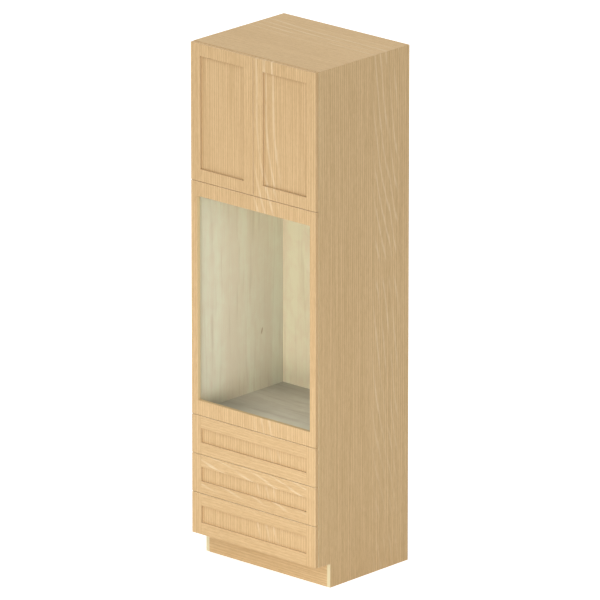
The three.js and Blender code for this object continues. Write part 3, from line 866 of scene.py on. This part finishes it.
# %% Drawer boxes
BIRCH_GLUE = linear(150, 112, 70)
BIRCH_END = linear(196, 164, 116)
BOX_LOW, BOX_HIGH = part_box("drawer_1_box")
FINGER = 0.012
WALL = 0.012
PLY = 0.003
SLACK = 0.0005  # moves a border between walls off the face that it would cut
GLUE_SHOWS = (0.2, 0.9)
GLUE_SHARE = 0.4
END_SHARE = 0.6


def glue_lines(finish, side, x, y):
    """How strongly a line of glue shows, on the upper and lower edges of the walls.

    The plies lie through the wall, so along Y in the end walls and along X in the sides.
    """
    through = finish.parts(finish.blend(side, y, x))[0]
    glue = finish.ease(finish.wave(through, PLY), *GLUE_SHOWS)
    return finish.times(glue, finish.faces_along(2), GLUE_SHARE)


def finger_ends(finish, side, y, z):
    """How strongly end grain shows, on every second finger of each corner."""
    front = finish.below(y, BOX_LOW.y + WALL)
    back = finish.above(y, BOX_HIGH.y - WALL)
    corner = finish.times(side, finish.calc("MAXIMUM", front, back))
    finger = finish.above(finish.wave(z, 2 * FINGER), 0.0)
    other = finish.size(finish.calc("SUBTRACT", finger, finish.faces_along(0)))
    return finish.times(other, corner, END_SHARE)


def drawer_birch():
    finish = Finish("birch_drawer", **INSIDE_SHEEN)
    x, y, z = finish.place()
    side = finish.above(finish.size(x), BOX_HIGH.x - SLACK - WALL)
    end_wood, end_fibre = birch(finish, ALONG_X_ACROSS_Z)
    side_wood, side_fibre = birch(finish, ALONG_Y_ACROSS_X)
    colour = finish.blend(side, end_wood, side_wood)
    fibre = finish.total((end_fibre, 0.5), (side_fibre, 0.5))
    colour = finish.blend(glue_lines(finish, side, x, y), colour, BIRCH_GLUE)
    colour = finish.blend(finger_ends(finish, side, y, z), colour, BIRCH_END)
    return finish.paint(colour, fibre, **FINE_RELIEF)


birch_box = drawer_birch()
print("walls of the drawer boxes:", WALL * 1000, "mm, plies:", PLY * 1000, "mm")

# %% [markdown]
# Hinges and runners are plated steel. Rolled sheet has faint lines along its length and
# a cloudy sheen. An even grey metal would look like plastic in white light, and scratches
# as geometry would be far too many. So noise moves the roughness and the colour a little.

# %% Plated steel
STEEL_LAYERS = {"rolled": (900.0, 20.0, 2.0), "cloud": (40.0, 30.0, 2.0)}
STEEL_SHARES = {"rolled": 0.6, "cloud": 0.9}
ROUGH_SHARES = {"rolled": 0.14, "cloud": 0.16}
STEEL_DARK = 0.78


def steel_finish(name, colour, roughness, rotation):
    finish = Finish(name, roughness, specular=0.5, metallic=1.0)
    layer = finish.layers(finish.turned(rotation), STEEL_LAYERS)
    dark = tuple(c * STEEL_DARK for c in colour[:3]) + (1.0,)
    tone = finish.mixed(layer, STEEL_SHARES)
    return finish.paint(
        finish.shaded(tone, dark, colour),
        layer["rolled"],
        depth=0.00005,
        strength=0.25,
        roughness=finish.mixed(layer, ROUGH_SHARES, middle=roughness),
    )


NICKEL, ZINC, SCREW = linear(228, 226, 221), linear(198, 201, 205), linear(190, 190, 188)
nickel = steel_finish("nickel_hinge", NICKEL, 0.4, ALONG_Z_ACROSS_X)
zinc = steel_finish("zinc_runner", ZINC, 0.38, ALONG_X_ACROSS_Z)
screw_steel = steel_finish("screw_steel", SCREW, 0.32, ALONG_Z_ACROSS_X)
print("steels:", [m.name for m in (nickel, zinc, screw_steel)])

# %% [markdown]
# Now each board and fitting gets its finish. The boards could be made again with their
# materials, but a CAD node keeps its mesh, and only its material slot changes. Names
# tell the pieces apart, so loops over sides, levels and numbers reach them all.


# %% Finishes onto the nodes
def wear(material, *names):
    for name in names:
        slots = nodes[name].data.materials
        slots.clear()
        slots.append(material)


wear(oak_side_left, "left_side_panel")
wear(oak_side_right, "right_side_panel")
wear(oak_top, "top_panel")
wear(oak_plinth, "toe_kick")
wear(oak_trim, "oven_trim_panel")
wear(maple_level, "bottom_panel", "cupboard_floor", "adjustable_shelf")
wear(maple_deck, "oven_deck")
wear(maple_back, "back_panel")
wear(birch_plain, "rear_nailer")
for side in ("left", "right"):
    for level in ("upper", "lower"):
        for piece in ("arm", "link", "cup"):
            wear(nickel, f"{side}_{level}_hinge_{piece}")
for number in (1, 2, 3):
    drawer = f"drawer_{number}"
    wear(birch_box, f"{drawer}_box")
    wear(birch_plain, f"{drawer}_bottom")
    for side in ("left", "right"):
        wear(zinc, f"{drawer}_{side}_runner", f"{drawer}_{side}_slide")
for name, material in front_finishes.items():
    wear(material, name)
bare = [n for n, o in nodes.items() if not o.data.materials]
print("nodes without a finish:", bare)

# %% [markdown]
# The fastenings are too small for the CAD model, and they are what shows when a door or
# a drawer is open. All of them start as one kind of head, a low dome. It could be a
# squashed sphere, but a real head has an upright rim, a rounded shoulder and a flat top.
# So half of that outline is drawn once and spun round.

# %% The dome of a head
DOME_OUTLINE = ((1.0, -0.1), (1.0, 0.35), (0.86, 0.78), (0.6, 1.0))
DOME_STEPS = 24
WELD = 1e-6
SAME = 1e-7


def dome(shape, radius, height):
    """A low dome on z = 0. Its flat top reaches out to six tenths of the radius."""
    outline = [(out * radius, 0, up * height) for out, up in DOME_OUTLINE]
    points = [shape.verts.new(point) for point in outline]
    edges = [shape.edges.new(pair) for pair in zip(points, points[1:])]
    bmesh.ops.spin(
        shape,
        geom=points + edges,
        cent=(0, 0, 0),
        axis=(0, 0, 1),
        angle=2 * math.pi,
        steps=DOME_STEPS,
        use_merge=True,
    )
    bmesh.ops.remove_doubles(shape, verts=shape.verts, dist=WELD)
    rims = [edge for edge in shape.edges if edge.is_boundary]
    bmesh.ops.holes_fill(shape, edges=rims)
    bmesh.ops.recalc_face_normals(shape, faces=shape.faces)


print("points in the outline:", len(DOME_OUTLINE))

# %% [markdown]
# A screw head has a cross recess for the driver. It could be a boolean cut, which leaves
# thin stray faces. Here the flat top is sliced by planes where the walls of the cross
# fall, and the faces inside the cross are extruded downwards. That keeps the mesh small
# and its corners crisp.

# %% A cross recess
CROSS_ARM, CROSS_HALF_WIDTH, CROSS_DEPTH = 0.5, 0.14, 0.6


def top_faces(shape, top):
    return [f for f in shape.faces if all(abs(v.co.z - top) < SAME for v in f.verts)]


def cross_recess(shape, arm, half_width, depth):
    """Sink a cross into the flat top of the shape."""
    top = max(vert.co.z for vert in shape.verts)
    for axis in ((1, 0, 0), (0, 1, 0)):
        for cut in (-arm, -half_width, half_width, arm):
            flat = top_faces(shape, top)
            parts = [part for face in flat for part in (*face.edges, *face.verts)]
            bmesh.ops.bisect_plane(
                shape,
                geom=flat + list(dict.fromkeys(parts)),
                plane_co=[cut * a for a in axis],
                plane_no=axis,
                dist=SAME,
            )
    inside = []
    for face in top_faces(shape, top):
        x, y, _ = face.calc_center_median()
        near, far = sorted((abs(x), abs(y)))
        if near < half_width and far < arm:
            inside.append(face)
    sunk = bmesh.ops.extrude_face_region(shape, geom=inside)["geom"]
    low = [part for part in sunk if isinstance(part, bmesh.types.BMVert)]
    bmesh.ops.translate(shape, verts=low, vec=(0, 0, -depth))
    bmesh.ops.delete(shape, geom=[f for f in inside if f.is_valid], context="FACES_ONLY")
    bmesh.ops.recalc_face_normals(shape, faces=shape.faces)


def head_mesh(name, radius, height, recess=True):
    """A head as a pattern mesh, to be copied."""
    shape = bmesh.new()
    dome(shape, radius, height)
    if recess:
        cross_recess(
            shape, CROSS_ARM * radius, CROSS_HALF_WIDTH * radius, CROSS_DEPTH * height
        )
    mesh = bpy.data.meshes.new(name)
    shape.to_mesh(mesh)
    shape.free()
    return mesh


pan_head = head_mesh("pan_head", radius=0.0038, height=0.0014)
small_head = head_mesh("small_head", radius=0.003, height=0.0011)
rivet_head = head_mesh("rivet_head", radius=0.0024, height=0.0007, recess=False)
print("faces in a pan head:", len(pan_head.polygons))

# %% [markdown]
# A set of heads is one object, so that it rides on one body. Each screw could be an
# object of its own, but eighty objects are hard to keep in order. Each head is copied
# from the pattern, turned to face its way, and moved to its place. Each gets a twist of
# its own as well, because the crosses of real screws don't line up. The places are
# written in the mesh itself, and the object stays at the origin, as the CAD nodes do.

# %% A set of heads
TOWARD = {
    "+x": Matrix.Rotation(math.radians(90), 4, "Y"),
    "-x": Matrix.Rotation(math.radians(-90), 4, "Y"),
    "+y": Matrix.Rotation(math.radians(-90), 4, "X"),
    "+z": Matrix.Identity(4),
    "-z": Matrix.Rotation(math.radians(180), 4, "X"),
}
FIRST_TWIST, NEXT_TWIST = 20, 37
added = []


def add_copy(shape, pattern, matrix):
    """Copy a pattern mesh into the shape, moved to its place."""
    before = set(shape.verts)
    shape.from_mesh(pattern)
    new = [vert for vert in shape.verts if vert not in before]
    bmesh.ops.transform(shape, verts=new, matrix=matrix)


def finish_piece(name, shape, body, material):
    """Turn the shape into an object of the scene that rides on a body."""
    mesh = bpy.data.meshes.new(name)
    shape.to_mesh(mesh)
    shape.free()
    mesh.materials.append(material)
    piece = bpy.data.objects.new(name, mesh)
    bpy.context.scene.collection.objects.link(piece)
    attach(piece, body)
    added.append(piece)


def set_of_heads(name, pattern, body, places):
    """One object with a head at each place. A place is x, y, z and the way it faces."""
    shape = bmesh.new()
    for number, (x, y, z, way) in enumerate(places):
        twist = math.radians(FIRST_TWIST + NEXT_TWIST * number)
        twist = Matrix.Rotation(twist, 4, "Z")
        add_copy(shape, pattern, Matrix.Translation((x, y, z)) @ TOWARD[way] @ twist)
    finish_piece(name, shape, body, screw_steel)


print("ways to face:", len(TOWARD))

# %% [markdown]
# Each hinge has two screws in the wings of its base plate, two on top of the arm that
# shift the door sideways and in and out, two in the wings of the cup, and a rivet at each
# end of the pin that the link swings on. The places could be typed as plain coordinates.
# Here they come from the boxes of the CAD nodes, so they follow a change in the model.

# %% Hinge fastenings
# A setback is measured from the front edge of the box. A reach is how far a screw lies
# above and below the middle of its hinge.
BOX_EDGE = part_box("right_side_panel")[0].y
PLATE_SETBACK, PLATE_REACH, PLATE_THICKNESS = 0.039, 0.016, 0.003
SETTING_SETBACKS = (0.02, 0.037)
PIN_FROM_WALL, PIN_SETBACK, PIN_HALF = 0.0135, 0.0055, 0.008
WING_MIDDLE, WING_REACH = 0.01, 0.0235

for side, sign in (("left", -1), ("right", 1)):
    inward = "+x" if side == "left" else "-x"
    for level in ("upper", "lower"):
        hinge = f"{side}_{level}_hinge"
        low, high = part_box(f"{hinge}_arm")
        middle = (low.z + high.z) / 2
        plate_x, plate_y = sign * (INNER_X - PLATE_THICKNESS), BOX_EDGE + PLATE_SETBACK
        heights = (middle - PLATE_REACH, middle + PLATE_REACH)
        set_of_heads(
            f"{hinge}_plate_screws",
            pan_head,
            "carcass",
            [(plate_x, plate_y, z, inward) for z in heights],
        )
        top = sign * min(abs(low.x), abs(high.x))
        set_of_heads(
            f"{hinge}_setting_screws",
            small_head,
            "carcass",
            [(top, BOX_EDGE + along, middle, inward) for along in SETTING_SETBACKS],
        )
        pin_x, pin_y = sign * (INNER_X - PIN_FROM_WALL), BOX_EDGE + PIN_SETBACK
        set_of_heads(
            f"{hinge}_pin_rivets",
            rivet_head,
            "carcass",
            [
                (pin_x, pin_y, middle + PIN_HALF, "+z"),
                (pin_x, pin_y, middle - PIN_HALF, "-z"),
            ],
        )
        cup_low, cup_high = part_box(f"{hinge}_cup")
        wing_x = sign * (min(abs(cup_low.x), abs(cup_high.x)) + WING_MIDDLE)
        heights = (middle - WING_REACH, middle + WING_REACH)
        set_of_heads(
            f"{hinge}_cup_screws",
            small_head,
            f"{side}_door",
            [(wing_x, cup_high.y, z, "+y") for z in heights],
        )
print("hinge fastenings:", len(added))

# %% [markdown]
# A drawer front is held by four screws from inside its box. A runner is held by three
# screws in its channel, and its other half by three in the side of the drawer. They could
# be sunk flush. They lie in the hollow between the two halves, where a low head has room,
# and a head that stands proud can be seen.

# %% Drawer fastenings
FRONT_SCREW_X, FRONT_SCREW_LIFTS = 0.24, (0.045, 0.105)
RUNNER_SHEET, RUNNER_SCREW_Y = 0.0012, (-0.25, -0.02, 0.18)
SLIDE_FACE, SLIDE_SCREW_Y = 0.3502, (-0.24, 0.0, 0.17)

for number in (1, 2, 3):
    drawer = f"drawer_{number}"
    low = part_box(f"{drawer}_box")[0]
    set_of_heads(
        f"{drawer}_front_screws",
        pan_head,
        drawer,
        [
            (x, low.y + WALL, low.z + up, "+y")
            for x in (-FRONT_SCREW_X, FRONT_SCREW_X)
            for up in FRONT_SCREW_LIFTS
        ],
    )
    for side, sign in (("left", -1), ("right", 1)):
        inward, outward = ("+x", "-x") if side == "left" else ("-x", "+x")
        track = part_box(f"{drawer}_{side}_runner")
        middle = (track[0].z + track[1].z) / 2
        channel = sign * (INNER_X - RUNNER_SHEET)
        set_of_heads(
            f"{drawer}_{side}_runner_screws",
            pan_head,
            "carcass",
            [(channel, y, middle, inward) for y in RUNNER_SCREW_Y],
        )
        set_of_heads(
            f"{drawer}_{side}_slide_screws",
            pan_head,
            drawer,
            [(sign * SLIDE_FACE, y, middle, outward) for y in SLIDE_SCREW_Y],
        )
print("pieces so far:", len(added))

# %% [markdown]
# Two soft dots on the back of each door, at the corners away from the hinges, keep it
# from knocking on the box. Real ones are punched from felt. A bevelled disc would look
# the same from afar. The spun dome of the screw heads is used again, because pressed felt
# has the same upright rim and rounded shoulder.

# %% Door dots
FELT_LIGHT = linear(206, 190, 160)
FELT_DARK = linear(176, 158, 128)
FELT_LAYERS = {"fuzz": (1600.0, 1600.0, 3.0), "matted": (300.0, 300.0, 2.0)}
FELT_SHARES = {"fuzz": 1.2, "matted": 0.8}
DOT_RADIUS, DOT_HEIGHT = 0.0034, 0.0012
DOT_X, DOT_BELOW_TOP, DOT_ABOVE_BOTTOM = 0.02, 0.008, 0.004

felt = Finish("felt_dot", roughness=0.95, specular=0.1)
layer = felt.layers(felt.turned(), FELT_LAYERS)
felt_colour = felt.shaded(felt.mixed(layer, FELT_SHARES), FELT_DARK, FELT_LIGHT)
felt_paint = felt.paint(felt_colour, layer["fuzz"], strength=0.8)
dot_pattern = head_mesh("dot_pattern", DOT_RADIUS, DOT_HEIGHT, recess=False)
for side, sign in (("left", -1), ("right", 1)):
    low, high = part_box(f"{side}_door_frame")
    shape = bmesh.new()
    for z in (high.z - DOT_BELOW_TOP, low.z + DOT_ABOVE_BOTTOM):
        dot_place = Matrix.Translation((sign * DOT_X, high.y, z))
        add_copy(shape, dot_pattern, dot_place @ TOWARD["+y"])
    finish_piece(f"{side}_door_dots", shape, f"{side}_door", felt_paint)
print("added pieces:", len(added))

# %% [markdown]
# The floor is a wide white sheet. It shows as white to the camera and keeps a soft shadow
# of the unit, because part of its brightness is real light and part is its own glow. More
# lamps could bleach it too, but they would bleach the oak with it. The glow is only for
# the camera and for reflections, so it throws no light on the unit.

# %% Floor
FLOOR_HALF = 30.0
FLOOR_DROP = 0.0005
FLOOR_GREY = (0.8, 0.8, 0.8, 1.0)
FLOOR_GLOW = 0.66

floor_mesh = bpy.data.meshes.new("floor")
shape = bmesh.new()
bmesh.ops.create_grid(shape, x_segments=1, y_segments=1, size=FLOOR_HALF)
bmesh.ops.translate(shape, verts=shape.verts, vec=(0, 0, -FLOOR_DROP))
shape.to_mesh(floor_mesh)
shape.free()
floor = bpy.data.objects.new("floor", floor_mesh)
bpy.context.scene.collection.objects.link(floor)
floor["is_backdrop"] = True


def seen_directly(recipe):
    """1 for rays that come from the camera, a reflection or clear glass, and else 0."""
    path = recipe.tree.nodes.new("ShaderNodeLightPath").outputs
    direct = recipe.calc("MAXIMUM", path["Is Camera Ray"], path["Is Glossy Ray"])
    return recipe.calc("MAXIMUM", direct, path["Is Transmission Ray"])


floor_paint = bpy.data.materials.new("floor_white")
floor_paint.use_nodes = True
tree = floor_paint.node_tree
floor_recipe = Recipe(tree)
matt = tree.nodes.new("ShaderNodeBsdfDiffuse")
matt.inputs["Color"].default_value = FLOOR_GREY
glow = tree.nodes.new("ShaderNodeEmission")
glow_level = floor_recipe.times(seen_directly(floor_recipe), FLOOR_GLOW)
tree.links.new(glow_level, glow.inputs["Strength"])
both = tree.nodes.new("ShaderNodeAddShader")
output = tree.nodes.new("ShaderNodeOutputMaterial")
tree.links.new(matt.outputs[0], both.inputs[0])
tree.links.new(glow.outputs[0], both.inputs[1])
tree.links.new(both.outputs[0], output.inputs["Surface"])
floor_mesh.materials.append(floor_paint)
print("floor", 2 * FLOOR_HALF, "m wide")

# %% [markdown]
# The light is that of a plain white studio. A picture of a studio could light it, but a
# few nodes give the same even light. The sky is white, and stronger from above. A wide,
# soft glow low on the right of the front makes the faces that look that way lighter. The
# camera sees plain white in place of the sky.

# %% World
SKY_SIDE = 0.12
SKY_TOP = 1.0
GLOW = 1.65
GLOW_WIDTH = 14.0
GLOW_FROM = Vector((0.72, -0.69, 0.14)).normalized()
WHITE = (1.0, 1.0, 1.0, 1.0)

world = bpy.data.worlds.new("studio")
bpy.context.scene.world = world
world.use_nodes = True
tree = world.node_tree
light = Recipe(tree)
where = tree.nodes.new("ShaderNodeTexCoord").outputs["Generated"]
rise = light.calc("MAXIMUM", light.parts(where)[2], 0.0)
sky = light.total((rise, SKY_TOP - SKY_SIDE), start=SKY_SIDE)
toward = tree.nodes.new("ShaderNodeVectorMath")
toward.operation = "DOT_PRODUCT"
tree.links.new(where, toward.inputs[0])
toward.inputs[1].default_value = GLOW_FROM
near = light.calc("MAXIMUM", toward.outputs["Value"], 0.0)
near = light.calc("POWER", near, GLOW_WIDTH)
level = light.total((near, GLOW), start=sky)
lit = tree.nodes.new("ShaderNodeBackground")
tree.links.new(level, lit.inputs["Strength"])
white = tree.nodes.new("ShaderNodeBackground")
white.inputs["Strength"].default_value = 1.0
for background in (lit, white):
    background.inputs["Color"].default_value = WHITE
choose = tree.nodes.new("ShaderNodeMixShader")
output = tree.nodes.new("ShaderNodeOutputWorld")
tree.links.new(seen_directly(light), choose.inputs["Fac"])
tree.links.new(lit.outputs[0], choose.inputs[1])
tree.links.new(white.outputs[0], choose.inputs[2])
tree.links.new(choose.outputs[0], output.inputs["Surface"])
print("sky from", SKY_SIDE, "to", SKY_TOP)

# %% [markdown]
# Two lamps model the shape. A wide soft one stands low in front and makes the fronts
# lighter towards the floor, and a far one, with a broad soft disc, lifts the fronts and
# the top over the side. One strong lamp could do both, but its shadows in the gaps and
# in the housing would be hard.

# %% Lamps
FRONT_POWER = 35.0
FRONT_PLACE = Vector((0.8, -3.2, 0.35))
FRONT_AIM = Vector((0, 0, 0.6))
FRONT_SIZE = (2.2, 0.9)
FAR_POWER = 0.52
FAR_FROM = Vector((0.3, -1.0, 0.75))
FAR_DISC = math.radians(30)


def hang_lamp(name, kind, power, turned):
    data = bpy.data.lights.new(name, kind)
    data.energy = power
    lamp = bpy.data.objects.new(name, data)
    lamp.rotation_euler = turned.to_euler()
    bpy.context.scene.collection.objects.link(lamp)
    return lamp


aimed = (FRONT_AIM - FRONT_PLACE).to_track_quat("-Z", "Y")
front_lamp = hang_lamp("front_lamp", "AREA", FRONT_POWER, aimed)
front_lamp.location = FRONT_PLACE
front_lamp.data.shape = "RECTANGLE"
front_lamp.data.size, front_lamp.data.size_y = FRONT_SIZE
far_lamp = hang_lamp("far_front_lamp", "SUN", FAR_POWER, FAR_FROM.to_track_quat("Z", "Y"))
far_lamp.data.angle = FAR_DISC
print("lamps:", [lamp.name for lamp in (front_lamp, far_lamp)])

# %% [markdown]
# The size of all that shows, without the floor, is printed at the end. A head or a dot
# could stand out past the boards.

# %% Sizes and the end
low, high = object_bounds()
print("size", [round(v, 4) for v in high - low])
